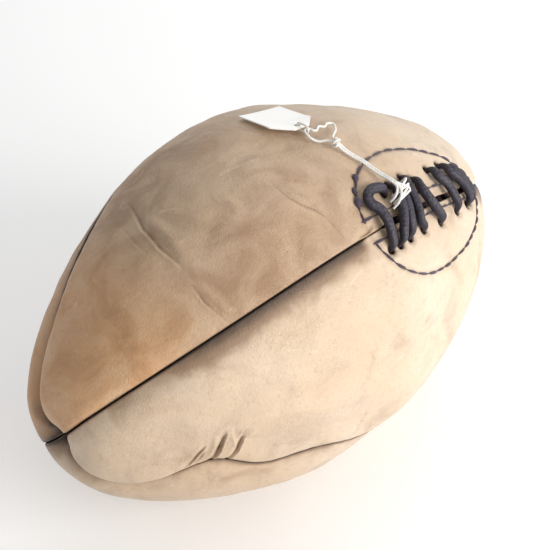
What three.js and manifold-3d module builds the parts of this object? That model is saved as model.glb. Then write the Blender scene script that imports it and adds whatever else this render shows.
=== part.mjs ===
// An old four-panel leather rugby ball with a laced slit, its rubber bladder, and a blank card tag
// tied to the lace with cotton string.
// Millimetres, +Z up. X runs along the ball. The ball lies on its flattened underside.
//
// The casing is described by three coordinates: t runs from 0 at the -X tip to PI at the +X tip,
// angle turns about X from +Y towards +Z, and depth is measured inwards from the leather's face.
import * as THREE from "three";
import { mergeVertices } from "three/addons/utils/BufferGeometryUtils.js";
import Module from "manifold-3d";

const wasm = await Module();
wasm.setup();

// ---- driving dimensions ----
const HALF_LENGTH = 139; // middle to the pit where the four panels meet
const SEAM_RADIUS = 86.5; // casing radius at the seams, at mid length
const END_POINT = 1.126; // above 1 draws the ends out to a point
const SKEW = 0.032; // the -X half is this much fuller than the +X half
const LEAN = 0.05; // the section bulges towards seam B
const OVAL = 0.037; // and is wider from B to C than from A to D
const MID_SWELL = 3; // how far a panel stands above its seams at mid length
const END_SWELL = 13.2; // and near the tips, where the panels puff up round the pit
const END_SWELL_AT = 0.216; // t at which the end swell peaks
const SWELL_POWER = 4.47; // higher is flatter panels with narrower grooves
const REST_LEVEL = -82; // height of the flattened underside, from the ball's axis

const LEATHER = 2.2;
const SEAM_GAP = 0.25; // half the gap between two panels
const SLIT_GAP = 1.4; // added to that along the lacing slit
const LINING_DEPTH = [2.7, 3.3];
const FACING_DEPTH = [4.7, 5.9];
const TONGUE_DEPTH = [10.9, 12.1];
const TIP = 0.03; // the panels stop this short of the axis, in t

const ROLL = 42.7; // degrees the ball is rolled about X: seam B stands here
const SEAM_B = 44.8;
const SEAM_A = 132.7; // the laced seam
const SEAM_C = 215;
// Seam C bows up where the -X half has sagged, most of all beside the folds.
const SEAM_C_BOWS = [
  { angle: 21, at: -72, reach: 52 },
  { angle: 18, at: -110, reach: 17 },
];
const SEAM_D = 316.4;

const SLIT = [-1, 97]; // along X
const SLIT_FADE = 9; // over which the groove closes up at the ends of the slit
const FACING_CENTRE = 47.2;
const FACING_HALF = [56, 33]; // outline of the stitched lace facing, along and across
const FACING_TAPER = 0.33; // it narrows this much towards the +X end
const STITCH_INSET = 0.94; // the stitched outline, as a share of that
const STITCH_EDGE = 6.3; // from the slit to the straight row of stitches
const LACE_RADIUS = 2.1;
const LACE_BEND = 2.5;
const BAR_HEIGHT = 4.1; // lace centre above the leather
const UNDER_DEPTH = 8.4; // lace centre below it
const LACE_END_DEPTH = 6; // where each end of the thong is tucked away
const HOLE_RADIUS = 2.6;
// x, across from seam A: the holes of each bar, as punched by hand
const UPPER_HOLES = [
  [16, -13.2],
  [22.3, -16.5],
  [28, -14],
  [33.7, -17.3],
  [39.6, -14.6],
  [56.5, -16],
  [68.5, -16.2],
  [75.2, -14.8],
];
const LOWER_HOLES = [
  [1.2, 11.3],
  [7.4, 11.4],
  [15.3, 11],
  [27, 10.8],
  [43.5, 11.4],
  [62.5, 10],
  [76, 9.7],
  [83, 9.7],
];
// x, across, height: the slack loop that the first bar makes
const LOOP = [
  [12, -15.6, 4],
  [7, -16.8, 3.6],
  [2.8, -15, 3.6],
  [1.4, -11.4, 4.2],
  [3.2, -7.2, 4.8],
  [3.6, -1.6, 4.9],
  [2.6, 5, 4.4],
];

const THREAD_RADIUS = 0.5;
const THREAD_DEPTH = 3.2;
const STITCH_HEIGHT = 0.9;

const BLADDER_DEPTH = 6.5;
const BLADDER_WALL = 0.9;
const RECESS_FLOOR = 23.4; // depth of the bladder's fold under the lacing
const NECK_RADIUS = 3.6;
const NECK_BORE = 2.5;
const NECK_DEPTH = 17.5;
const NECK_TIE_AT = 62;

const STRING_RADIUS = 0.6;
const PAIR_HALF = 0.8; // the two strands lie this far each side of their route
const HITCHED_BAR = 1; // counted from 0
const HITCH_ACROSS = -8.6;
const TURN_RADIUS = 2.5; // of the string where it carries the tag's tie
const TURN = [6.4, -54.6]; // centre of that turn, along X and across from seam A
const TURN_HEIGHT = 3.1;
const TAG = { length: 32, width: 26, thickness: 0.6, clip: 8.5, holeAt: 3.6, holeRadius: 1.6 };
const TAG_GAP = 2.6; // from the hinge line to the card's edge
const TAG_PLACE = { slope: 3, lean: 2, yaw: -7 }; // degrees it falls away, leans to +X, and turns
const TIE = { along: 3.9, high: 1.8, radius: 0.5, centre: 2.2 };

const degrees = (value) => THREE.MathUtils.degToRad(value);
const smooth = (edge0, edge1, x) => THREE.MathUtils.smoothstep(x, edge0, edge1);
const X_AXIS = new THREE.Vector3(1, 0, 0);
const Z_AXIS = new THREE.Vector3(0, 0, 1);

// ---- the casing's shape ----
const tAt = (x) => Math.acos(THREE.MathUtils.clamp(-x / HALF_LENGTH, -1, 1));

function seamRadius(t) {
  return SEAM_RADIUS * Math.sin(t) ** END_POINT * (1 + SKEW * Math.cos(t));
}

// How open the slit is at t: 1 along the lacing and 0 where seam A is sewn shut.
function slitShare(t) {
  const x = -HALF_LENGTH * Math.cos(t);
  const [start, end] = SLIT;
  const opened = smooth(start - SLIT_FADE, start + SLIT_FADE, x);
  return opened * (1 - smooth(end - SLIT_FADE, end + SLIT_FADE, x));
}

// Seam A drifts sideways along the ball, because the old casing has twisted.
function seamAngleA(t) {
  const along = -Math.cos(t);
  const drift = (6.8 * along + 12.6 * along ** 2 + 8.75 * along ** 3) * Math.sin(t);
  return degrees(SEAM_A) + drift / Math.max(SEAM_RADIUS * Math.sin(t) ** END_POINT, 19);
}

function seamAngleC(t) {
  let angle = SEAM_C;
  for (const bow of SEAM_C_BOWS) {
    const away = (-HALF_LENGTH * Math.cos(t) - bow.at) / bow.reach;
    angle -= bow.angle * Math.exp(-(away ** 2));
  }
  return degrees(angle);
}

const SEAMS = {
  A: seamAngleA,
  B: () => degrees(SEAM_B),
  C: seamAngleC,
  D: () => degrees(SEAM_D),
  B_again: () => degrees(SEAM_B + 360),
};

const PANELS = {
  top: { from: "B", to: "A" },
  front: { from: "A", to: "C" },
  bottom: { from: "C", to: "D" },
  back: { from: "D", to: "B_again" },
};

function swellAt(t, share, panel) {
  const toTip = Math.min(t, Math.PI - t) / END_SWELL_AT;
  const height = MID_SWELL * Math.sin(t) ** 2 + END_SWELL * toTip * Math.exp(1 - toTip);
  const nearA = share < 0.5 ? panel.from === "A" : panel.to === "A";
  const groove = Math.abs(2 * share - 1) ** SWELL_POWER * (nearA ? 1 - slitShare(t) : 1);
  return height * (1 - groove);
}

// The point at t, angle and depth, for a skin raised by a swell.
function casingPoint(t, angle, depth, swell) {
  const fromRoll = angle - degrees(ROLL);
  const stretch = 1 + Math.sin(t) ** 2 * (LEAN * Math.cos(fromRoll) + OVAL * Math.cos(2 * fromRoll));
  const slope = new THREE.Vector2(
    -SEAM_RADIUS * END_POINT * Math.sin(t) ** (END_POINT - 1) * Math.cos(t),
    HALF_LENGTH * Math.sin(t),
  ).normalize();
  const out = swell - depth;
  const radius = seamRadius(t) * stretch + slope.y * out;
  const x = -HALF_LENGTH * Math.cos(t) + slope.x * out;
  const z = Math.max(radius * Math.sin(angle), REST_LEVEL + depth);
  return new THREE.Vector3(x, radius * Math.cos(angle), z);
}

function panelPoint(panel, t, share, depth, gap = 0) {
  const lift = gap / Math.max(seamRadius(t), 1);
  const from = SEAMS[panel.from](t) + lift;
  const to = SEAMS[panel.to](t) - lift;
  return casingPoint(t, THREE.MathUtils.lerp(from, to, share), depth, swellAt(t, share, panel));
}

// The point x along the ball and across from seam A (towards seam C), at a depth.
function besideSeamA(x, across, depth) {
  const t = tAt(x);
  const panel = across < 0 ? PANELS.top : PANELS.front;
  const from = SEAMS[panel.from](t);
  const to = SEAMS[panel.to](t);
  const angle = SEAMS.A(t) + across / seamRadius(t);
  return casingPoint(t, angle, depth, swellAt(t, (angle - from) / (to - from), panel));
}

// ---- mesh helpers ----
function closedMesh(points, faces) {
  const geometry = new THREE.BufferGeometry();
  const places = points.flatMap((point) => point.toArray());
  geometry.setAttribute("position", new THREE.Float32BufferAttribute(places, 3));
  geometry.setIndex(faces);
  return geometry;
}

// A thick skin over a grid: outer(i, j) and inner(i, j) give its two faces, rows by columns points each.
function skin(rows, columns, outer, inner) {
  const points = [];
  for (const face of [outer, inner]) {
    for (let i = 0; i < rows; i += 1) {
      for (let j = 0; j < columns; j += 1) points.push(face(i, j));
    }
  }
  const at = (side, i, j) => side * rows * columns + i * columns + j;
  const faces = [];
  const quad = (a, b, c, d) => faces.push(a, c, b, a, d, c);
  for (let i = 0; i + 1 < rows; i += 1) {
    for (let j = 0; j + 1 < columns; j += 1) {
      quad(at(0, i, j), at(0, i + 1, j), at(0, i + 1, j + 1), at(0, i, j + 1));
      quad(at(1, i, j), at(1, i, j + 1), at(1, i + 1, j + 1), at(1, i + 1, j));
    }
  }
  for (let i = 0; i + 1 < rows; i += 1) {
    quad(at(0, i, 0), at(1, i, 0), at(1, i + 1, 0), at(0, i + 1, 0));
    const last = columns - 1;
    quad(at(0, i + 1, last), at(1, i + 1, last), at(1, i, last), at(0, i, last));
  }
  for (let j = 0; j + 1 < columns; j += 1) {
    quad(at(0, 0, j + 1), at(1, 0, j + 1), at(1, 0, j), at(0, 0, j));
    quad(at(0, rows - 1, j), at(1, rows - 1, j), at(1, rows - 1, j + 1), at(0, rows - 1, j + 1));
  }
  return closedMesh(points, faces);
}

// A round tube through the given points, closed by a flat cap at each end.
function tube(route, radius, sides) {
  const points = [];
  const normal = new THREE.Vector3();
  route.forEach((point, i) => {
    const before = route[Math.max(i - 1, 0)];
    const after = route[Math.min(i + 1, route.length - 1)];
    const tangent = after.clone().sub(before).normalize();
    if (i === 0) normal.crossVectors(tangent, Math.abs(tangent.x) < 0.9 ? X_AXIS : Z_AXIS);
    normal.addScaledVector(tangent, -normal.dot(tangent)).normalize();
    const side = tangent.clone().cross(normal);
    for (let k = 0; k < sides; k += 1) {
      const turn = (2 * Math.PI * k) / sides;
      const offset = normal.clone().multiplyScalar(Math.cos(turn)).addScaledVector(side, Math.sin(turn));
      points.push(point.clone().addScaledVector(offset, radius));
    }
  });
  const faces = [];
  for (let i = 0; i + 1 < route.length; i += 1) {
    for (let k = 0; k < sides; k += 1) {
      const a = i * sides + k;
      const b = i * sides + ((k + 1) % sides);
      faces.push(a, b, b + sides, a, b + sides, a + sides);
    }
  }
  const last = (route.length - 1) * sides;
  for (let k = 1; k + 1 < sides; k += 1) {
    faces.push(0, k + 1, k, last, last + k, last + k + 1);
  }
  return closedMesh(points, faces);
}

function toSolid(geometry) {
  const merged = mergeVertices(geometry, 1e-4);
  return new wasm.Manifold(
    new wasm.Mesh({
      numProp: 3,
      vertProperties: merged.attributes.position.array,
      triVerts: new Uint32Array(merged.index.array),
    }),
  );
}

function toGeometry(solid) {
  const mesh = solid.getMesh();
  const geometry = new THREE.BufferGeometry();
  geometry.setAttribute("position", new THREE.BufferAttribute(mesh.vertProperties, 3));
  geometry.setIndex(new THREE.BufferAttribute(mesh.triVerts, 1));
  return geometry;
}

const cutFrom = (geometry, cutters) =>
  toGeometry(cutters.reduce((solid, cutter) => solid.subtract(toSolid(cutter)), toSolid(geometry)));

// ---- materials ----
const finish = (color, roughness) => new THREE.MeshStandardMaterial({ color, roughness, metalness: 0 });
const leather = finish(0xc09a6b, 0.55);
const innerLeather = finish(0x9a6a45, 0.8);
const laceLeather = finish(0x35323d, 0.5);
const darkThread = finish(0x2c2433, 0.85);
const seamTwine = finish(0x6b4a2c, 0.9);
const cotton = finish(0xcdbf9f, 0.95);
const rubber = finish(0x7d3b2b, 0.7);
const whiteString = finish(0xf1eee6, 0.9);
const card = finish(0xf6f5f0, 0.7);

const group = new THREE.Group();

function add(name, geometry, material) {
  geometry.computeVertexNormals();
  const mesh = new THREE.Mesh(geometry, material);
  mesh.name = name;
  group.add(mesh);
  return mesh;
}

// ---- leather panels and their cotton linings, which stop short of the lacing ----
const PANEL_ROWS = 29;
const SHARES = [0, 0.03, 0.08, 0.2, 0.4, 0.6, 0.8, 0.92, 0.97, 1];

// Rows crowd towards the tips, where the panels curve most.
function rowT(row) {
  const even = row / (PANEL_ROWS - 1);
  const t = Math.PI * (even - (0.55 * Math.sin(2 * Math.PI * even)) / (2 * Math.PI));
  return THREE.MathUtils.clamp(t, TIP, Math.PI - TIP);
}

const edgeGap = (panel, t, share) => {
  const nearA = share < 0.5 ? panel.from === "A" : panel.to === "A";
  return SEAM_GAP + (nearA ? SLIT_GAP * slitShare(t) : 0);
};

function panelSkin(panel, rows, shares, outerDepth, innerDepth) {
  const face = (depth) => (i, j) => {
    const t = rowT(rows[i]);
    return panelPoint(panel, t, shares[j], depth, edgeGap(panel, t, shares[j]));
  };
  return skin(rows.length, shares.length, face(outerDepth), face(innerDepth));
}

// ---- the holes that the lace runs through ----
const punches = (holes) =>
  holes.map(([x, across]) => tube([besideSeamA(x, across, -3), besideSeamA(x, across, 7)], HOLE_RADIUS, 8));

const holesIn = { top: punches(UPPER_HOLES), front: punches(LOWER_HOLES), bottom: [], back: [] };

const allRows = Array.from({ length: PANEL_ROWS }, (_, i) => i);
const liningRows = allRows.slice(5, -5);
for (const [side, panel] of Object.entries(PANELS)) {
  const outer = panelSkin(panel, allRows, SHARES, 0, LEATHER);
  const liningShares = SHARES.slice(panel.from === "A" ? 3 : 2, panel.to === "A" ? -3 : -2);
  add(`${side}_panel`, cutFrom(outer, holesIn[side]), leather);
  add(`${side}_lining`, panelSkin(panel, liningRows, liningShares, ...LINING_DEPTH), cotton);
}

// ---- the hidden twine along each seam ----
function seamTwineAlong(name, seam, fromT, toT) {
  const steps = Math.max(5, Math.round((toT - fromT) * 8));
  const route = Array.from({ length: steps + 1 }, (_, i) => {
    const t = THREE.MathUtils.lerp(fromT, toT, i / steps);
    return casingPoint(t, SEAMS[seam](t), THREAD_DEPTH, 0);
  });
  add(name, tube(route, THREAD_RADIUS, 5), seamTwine);
}

const TWINE_END = 0.14;
for (const seam of ["B", "C", "D"]) {
  seamTwineAlong(`seam_twine_${seam.toLowerCase()}`, seam, TWINE_END, Math.PI - TWINE_END);
}
seamTwineAlong("seam_twine_a_long", "A", TWINE_END, tAt(SLIT[0] - SLIT_FADE - 3));
seamTwineAlong("seam_twine_a_short", "A", tAt(SLIT[1] + SLIT_FADE + 3), Math.PI - TWINE_END);

// ---- the lace facings inside the slit, and the thread that sews them on ----
// The outline's distance from the slit, at a share of its half length.
const outline = (along, halfWide) => halfWide * Math.sqrt(1 - along ** 2) * (1 - FACING_TAPER * along);

function facing(side) {
  const rows = 13;
  const columns = 5;
  const face = (depth) => (i, j) => {
    const along = 0.97 * Math.sin(Math.PI * (i / (rows - 1) - 0.5));
    const across = THREE.MathUtils.lerp(2, outline(along, FACING_HALF[1]), j / (columns - 1));
    return besideSeamA(FACING_CENTRE + FACING_HALF[0] * along, side * across, depth);
  };
  const [outer, inner] = FACING_DEPTH;
  const faces = [face(outer), face(inner)];
  return skin(rows, columns, ...(side > 0 ? faces : faces.reverse()));
}

// Once round a D: out along the slit's edge, and back along the curved outline.
function facingStitch(side) {
  const [halfLong, halfWide] = FACING_HALF.map((half) => half * STITCH_INSET);
  const turns = [0.34, Math.PI - 0.22];
  const route = [];
  const stitchAt = (along, across) =>
    route.push(besideSeamA(FACING_CENTRE + halfLong * along, side * across, -STITCH_HEIGHT));
  for (let i = 0; i <= 10; i += 1) {
    stitchAt(THREE.MathUtils.lerp(Math.cos(turns[1]), Math.cos(turns[0]), i / 10), STITCH_EDGE);
  }
  for (let i = 0; i <= 20; i += 1) {
    const along = Math.cos(THREE.MathUtils.lerp(turns[0], turns[1] - 0.04, i / 20));
    stitchAt(along, outline(along, halfWide));
  }
  return tube(route, THREAD_RADIUS, 5);
}

add("lace_facing_upper", cutFrom(facing(-1), holesIn.top), innerLeather);
add("lace_facing_lower", cutFrom(facing(1), holesIn.front), innerLeather);
add("facing_stitch_upper", facingStitch(-1), darkThread);
add("facing_stitch_lower", facingStitch(1), darkThread);

// ---- the tongue under the lacing ----
function blanket(xRange, halfWidth, outerDepth, innerDepth, rows, columns) {
  const face = (depth) => (i, j) => {
    const x = THREE.MathUtils.lerp(xRange[0], xRange[1], i / (rows - 1));
    return besideSeamA(x, THREE.MathUtils.lerp(-halfWidth, halfWidth, j / (columns - 1)), depth);
  };
  return skin(rows, columns, face(outerDepth), face(innerDepth));
}

add("lace_tongue", blanket([-3, 100], 17.5, ...TONGUE_DEPTH, 11, 6), innerLeather);

// ---- the lace: one thong, over the slit in bars and back under it in slants ----
function bend(corner, towards, level, rise, steps) {
  const points = [];
  for (let i = 1; i <= steps; i += 1) {
    const turn = (Math.PI / 2) * (i / steps);
    const flat = corner.clone().addScaledVector(towards, LACE_BEND * (1 - Math.cos(turn)));
    points.push([flat, level + rise * LACE_BEND * Math.sin(turn)]);
  }
  return points;
}

// From one hole to the next on one side of the leather, by way of the given points.
// rise is -1 outside and 1 inside.
function crossing(from, to, level, rise, by = [[from.clone().lerp(to, 0.5), level + rise * LACE_BEND]]) {
  const out = by[0][0].clone().sub(from).normalize();
  const back = by.at(-1)[0].clone().sub(to).normalize();
  return [
    [from, level],
    ...bend(from, out, level, rise, 3),
    ...by,
    ...bend(to, back, level, rise, 3).reverse(),
    [to, level],
  ];
}

function laceRoute() {
  const upper = UPPER_HOLES.map((hole) => new THREE.Vector2(...hole));
  const lower = LOWER_HOLES.map((hole) => new THREE.Vector2(...hole));
  const loopCurve = new THREE.CatmullRomCurve3(LOOP.map((point) => new THREE.Vector3(...point)));
  const loop = loopCurve.getSpacedPoints(14).map((p) => [new THREE.Vector2(p.x, p.y), -p.z]);
  const overLevel = LACE_BEND - BAR_HEIGHT;
  const route = [[upper[0], LACE_END_DEPTH], ...crossing(upper[0], lower[0], overLevel, -1, loop)];
  for (let i = 1; i < upper.length; i += 1) {
    route.push(...crossing(lower[i - 1], upper[i], UNDER_DEPTH - LACE_BEND, 1));
    route.push(...crossing(upper[i], lower[i], overLevel, -1));
  }
  route.push([lower.at(-1), LACE_END_DEPTH]);
  return route.map(([flat, depth]) => besideSeamA(flat.x, flat.y, depth));
}

add("lace", tube(laceRoute(), LACE_RADIUS, 6), laceLeather);

// ---- the bladder, folded down under the lacing, with its neck lying in the fold ----
function balloon(depth, rows, columns) {
  const points = [];
  for (let i = 0; i <= rows; i += 1) {
    const t = THREE.MathUtils.clamp((Math.PI * i) / rows, 1e-3, Math.PI - 1e-3);
    if (i === 0 || i === rows) {
      points.push(casingPoint(t, 0, depth, 0).setComponent(1, 0).setComponent(2, 0));
      continue;
    }
    for (let j = 0; j < columns; j += 1) {
      points.push(casingPoint(t, degrees(SEAM_B) + (2 * Math.PI * j) / columns, depth, MID_SWELL / 2));
    }
  }
  const faces = [];
  const at = (i, j) => 1 + (i - 1) * columns + (j % columns);
  for (let j = 0; j < columns; j += 1) {
    faces.push(0, at(1, j + 1), at(1, j));
    faces.push(points.length - 1, at(rows - 1, j), at(rows - 1, j + 1));
    for (let i = 1; i + 1 < rows; i += 1) {
      faces.push(at(i, j), at(i + 1, j + 1), at(i + 1, j), at(i, j), at(i, j + 1), at(i + 1, j + 1));
    }
  }
  return closedMesh(points, faces);
}

function bladder() {
  const fold = (extra) => {
    const along = [-9 - extra, 108 + extra];
    return toSolid(blanket(along, 25 + extra, -6, RECESS_FLOOR + extra, 9, 5));
  };
  const neckRoute = [
    [18, 32],
    [18, 23],
    [18.6, 20.4],
    [20.4, 18.4],
    [23, 17.2],
    [27, NECK_DEPTH],
    [40, NECK_DEPTH],
    [56, NECK_DEPTH],
    [72, NECK_DEPTH],
  ];
  const neck = neckRoute.map(([x, depth]) => besideSeamA(x, 0, depth));
  const boreEnd = neck.at(-1).clone().lerp(neck.at(-2), -0.2);
  const outside = toSolid(balloon(BLADDER_DEPTH, 13, 18)).subtract(fold(0));
  const inside = toSolid(balloon(BLADDER_DEPTH + BLADDER_WALL, 13, 18)).subtract(fold(BLADDER_WALL));
  return outside
    .add(toSolid(tube(neck, NECK_RADIUS, 10)))
    .subtract(inside)
    .subtract(toSolid(tube([...neck, boreEnd], NECK_BORE, 10)));
}

add("bladder", toGeometry(bladder()), rubber);

// A ring lying round whatever passes from one point towards another.
function ringRound(centre, towards, radius, thickness, sides) {
  const geometry = new THREE.TorusGeometry(radius, thickness, 5, sides);
  const direction = towards.clone().sub(centre).normalize();
  const turn = new THREE.Quaternion().setFromUnitVectors(Z_AXIS, direction);
  return geometry.applyQuaternion(turn).translate(...centre.toArray());
}

add(
  "neck_tie",
  ringRound(
    besideSeamA(NECK_TIE_AT, 0, NECK_DEPTH),
    besideSeamA(NECK_TIE_AT + 1, 0, NECK_DEPTH),
    NECK_RADIUS + 0.95,
    THREAD_RADIUS,
    12,
  ),
  cotton,
);

// ---- the tag's string: hitched to the lace, doubled, knotted, and turned back under the tag ----
function onBar(across) {
  const [fromX, fromAcross] = UPPER_HOLES[HITCHED_BAR];
  const [toX, toAcross] = LOWER_HOLES[HITCHED_BAR];
  return THREE.MathUtils.mapLinear(across, fromAcross, toAcross, fromX, toX);
}

add(
  "string_hitch",
  ringRound(
    besideSeamA(onBar(HITCH_ACROSS), HITCH_ACROSS, -BAR_HEIGHT),
    besideSeamA(onBar(HITCH_ACROSS + 1), HITCH_ACROSS + 1, -BAR_HEIGHT),
    LACE_RADIUS + 0.4 + STRING_RADIUS,
    STRING_RADIUS,
    12,
  ),
  whiteString,
);

// x, across from seam A, height above the leather
const PAIR_ROUTE = [
  [18.9, -9.9, 7.3],
  [18.6, -13, 7.2],
  [18.2, -16.4, 6.2],
  [17.8, -20, 4.4],
  [17.2, -25, 3],
  [16.2, -30, 2.5],
  [14.4, -35.6, 1.8],
  [12.6, -39.6, 2.4],
];
const KNOT = [10.8, -43.4, 4];
const STRAND_OUT = [
  [9, -46.6, 3.2],
  [6, -49.4, 1.8],
  [4, -52, 2.4],
];
const STRAND_BACK = [
  [10.6, -54.4, 2.8],
  [14, -56, 2.8],
  [17.4, -55.2, 2.2],
  [21, -56.6, 2],
  [24, -55.4, 1.8],
  [21.6, -52, 1.6],
  [16.6, -49.2, 2],
  [12.7, -46.6, 3.2],
];

function stringRoute() {
  const pair = [...PAIR_ROUTE, KNOT];
  const shifted = (side) => pair.map(([x, across, height]) => [x + side * PAIR_HALF, across, height]);
  const turn = [];
  for (let i = 0; i <= 4; i += 1) {
    const around = Math.PI * (i / 4);
    const x = TURN[0] - TURN_RADIUS * Math.cos(around);
    turn.push([x, TURN[1] - TURN_RADIUS * Math.sin(around), TURN_HEIGHT]);
  }
  return [...shifted(-1), ...STRAND_OUT, ...turn, ...STRAND_BACK, ...shifted(1).reverse()];
}

const stringCurve = new THREE.CatmullRomCurve3(
  stringRoute().map(([x, across, height]) => besideSeamA(x, across, -height)),
  false,
  "centripetal",
);
add("tag_string", tube(stringCurve.getSpacedPoints(56), STRING_RADIUS, 8), whiteString);
add(
  "string_knot",
  ringRound(
    besideSeamA(KNOT[0], KNOT[1], -KNOT[2]),
    besideSeamA(KNOT[0] - 1.8, KNOT[1] - 3.9, -KNOT[2]),
    PAIR_HALF + STRING_RADIUS * 2 + 1.1,
    STRING_RADIUS,
    12,
  ),
  whiteString,
);

// ---- the card tag and its tie, which swing together about the string's turn ----
const hinge = besideSeamA(TURN[0], TURN[1] - TURN_RADIUS, -TURN_HEIGHT);

function tagCard() {
  const half = TAG.width / 2;
  const edge = new THREE.Shape([
    new THREE.Vector2(-half + TAG.clip, 0),
    new THREE.Vector2(half - TAG.clip, 0),
    new THREE.Vector2(half, TAG.clip),
    new THREE.Vector2(half, TAG.length),
    new THREE.Vector2(-half, TAG.length),
    new THREE.Vector2(-half, TAG.clip),
  ]);
  edge.holes.push(new THREE.Path().absarc(0, TAG.holeAt, TAG.holeRadius, 0, 2 * Math.PI, true));
  const options = { depth: TAG.thickness, bevelEnabled: false, curveSegments: 8 };
  const geometry = new THREE.ExtrudeGeometry(edge, options);
  return geometry.translate(0, TAG_GAP, -TAG.thickness / 2);
}

// A ring in the plane across the hinge line, drawn out along the tag.
function tieLoop() {
  const loop = new THREE.TorusGeometry(TIE.high, TIE.radius, 5, 16).rotateY(Math.PI / 2);
  const place = loop.attributes.position;
  for (let i = 0; i < place.count; i += 1) {
    const along = place.getY(i);
    const end = Math.abs(along) < 1e-3 ? 0 : Math.sign(along);
    place.setY(i, along + end * (TIE.along - TIE.high) + TIE.centre);
  }
  return loop;
}

const tagPlace = new THREE.Group();
tagPlace.position.copy(hinge);
tagPlace.rotation.set(degrees(-TAG_PLACE.slope), degrees(TAG_PLACE.lean), degrees(TAG_PLACE.yaw), "ZYX");
group.add(tagPlace);
tagPlace.add(add("swing_tag", tagCard(), card), add("tag_tie", tieLoop(), whiteString));

// ---- stand the ball on the ground, centred on the origin ----
const casing = new THREE.Box3();
for (const side of Object.keys(PANELS)) casing.expandByObject(group.getObjectByName(`${side}_panel`));
const middle = casing.getCenter(new THREE.Vector3());
group.position.set(-middle.x, -middle.y, -casing.min.z);

export default group;
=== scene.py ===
import math

import bpy
import numpy as np
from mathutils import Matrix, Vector


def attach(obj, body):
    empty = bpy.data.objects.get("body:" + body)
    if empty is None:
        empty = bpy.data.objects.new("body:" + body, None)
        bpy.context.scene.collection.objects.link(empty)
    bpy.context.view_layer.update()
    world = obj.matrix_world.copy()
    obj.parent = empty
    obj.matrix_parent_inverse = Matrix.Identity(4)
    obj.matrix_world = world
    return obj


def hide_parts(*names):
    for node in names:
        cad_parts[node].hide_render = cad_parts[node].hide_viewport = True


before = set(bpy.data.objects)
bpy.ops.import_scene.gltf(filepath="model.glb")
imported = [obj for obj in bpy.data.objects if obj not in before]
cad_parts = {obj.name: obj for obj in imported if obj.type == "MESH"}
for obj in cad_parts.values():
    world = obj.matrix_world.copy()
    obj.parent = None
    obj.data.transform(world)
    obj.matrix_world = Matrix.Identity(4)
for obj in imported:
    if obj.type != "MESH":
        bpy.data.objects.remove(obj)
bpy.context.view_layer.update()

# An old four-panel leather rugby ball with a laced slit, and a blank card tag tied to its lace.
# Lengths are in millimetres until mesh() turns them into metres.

MM = 0.001
CIRCLE = 2 * math.pi

# ---- the casing's shape, as the CAD model has it ----
HALF_LENGTH = 139  # middle to the pit where the four panels meet
SEAM_RADIUS = 86.5  # casing radius at the seams, at mid length
END_POINT = 1.126
SKEW = 0.032
LEAN = 0.05
OVAL = 0.037
MID_SWELL = 3
END_SWELL = 13.2
END_SWELL_AT = 0.216
SWELL_POWER = 4.47
REST_LEVEL = -82
LEATHER = 2.2
SEAM_GAP = 0.25
SLIT_GAP = 1.4
TIP = 0.03
ROLL, SEAM_B, SEAM_A, SEAM_C, SEAM_D = np.radians([42.7, 44.8, 132.7, 215, 316.4])
SEAM_A_DRIFT = (6.8, 12.6, 8.75)  # across the ball, by powers of how far along it is
SEAM_A_LEAST_RADIUS = 19
SEAM_C_BOWS = [(21, -72, 52), (18, -110, 17)]  # degrees it bows up, where most, and its reach
SLIT = (-1, 97)
SLIT_FADE = 9
FACING_CENTRE = 47.2
FACING_HALF = (56, 33)
FACING_TAPER = 0.33
STITCH_INSET = 0.94
# The lace holes beside the slit, as (x, across from seam A).
HOLES = {
    "top": [
        (16, -13.2), (22.3, -16.5), (28, -14), (33.7, -17.3),
        (39.6, -14.6), (56.5, -16), (69.2, -16.2), (74.4, -14.4),
    ],
    "front": [
        (1.2, 11.3), (7.4, 11.4), (15.3, 11), (27, 10.8),
        (43.5, 11.4), (62.5, 10), (77, 8.6), (82.4, 7.8),
    ],
}
# Which way across from seam A the laced panels lie, and what their facings are called.
LACED = {"top": (-1, "upper"), "front": (1, "lower")}
LINING_DEPTH = (2.7, 3.3)
FACING_DEPTH = (4.7, 5.9)
TONGUE_DEPTH = (10.9, 12.1)
UNDER_DEPTH = 8.4
LACE_END_DEPTH = 6
BLADDER_WALL = 0.9
NECK_TIE_AT = 62
BOX_OFFSET = -3.234

# The ball's axis in the row frame. The casing's box is centred over the origin and stands on the ground.
AXIS = np.array([0, BOX_OFFSET, -REST_LEVEL])


def smooth(low, high, value):
    share = np.clip((value - low) / (high - low), 0, 1)
    return share * share * (3 - 2 * share)


def between(value, start, full, fading, end):
    """1 from full to fading, and 0 before start and after end."""
    return smooth(start, full, value) * (1 - smooth(fading, end, value))


def hump(value, width):
    return np.exp(-((value / width) ** 2))


def grid(rows, columns):
    return np.meshgrid(rows, columns, indexing="ij")


def full_turn(count):
    return np.linspace(0, CIRCLE, count, endpoint=False)


def t_at(x):
    return np.arccos(np.clip(-np.asarray(x, float) / HALF_LENGTH, -1, 1))


def x_at(t):
    return -HALF_LENGTH * np.cos(t)


def seam_radius(t):
    return SEAM_RADIUS * np.sin(t) ** END_POINT * (1 + SKEW * np.cos(t))


def slit_share(t):
    start, end = SLIT
    return between(x_at(t), start - SLIT_FADE, start + SLIT_FADE, end - SLIT_FADE, end + SLIT_FADE)


def seam_a(t):
    along = -np.cos(t)
    drift = sum(part * along**power for power, part in enumerate(SEAM_A_DRIFT, 1)) * np.sin(t)
    return SEAM_A + drift / np.maximum(SEAM_RADIUS * np.sin(t) ** END_POINT, SEAM_A_LEAST_RADIUS)


def seam_c(t):
    return SEAM_C - np.radians(sum(angle * hump(x_at(t) - at, reach) for angle, at, reach in SEAM_C_BOWS))


def fixed(angle):
    return lambda t: np.full_like(t, angle)


PANELS = {
    "top": (fixed(SEAM_B), seam_a),
    "front": (seam_a, seam_c),
    "bottom": (seam_c, fixed(SEAM_D)),
    "back": (fixed(SEAM_D), fixed(SEAM_B + CIRCLE)),
}


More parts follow.
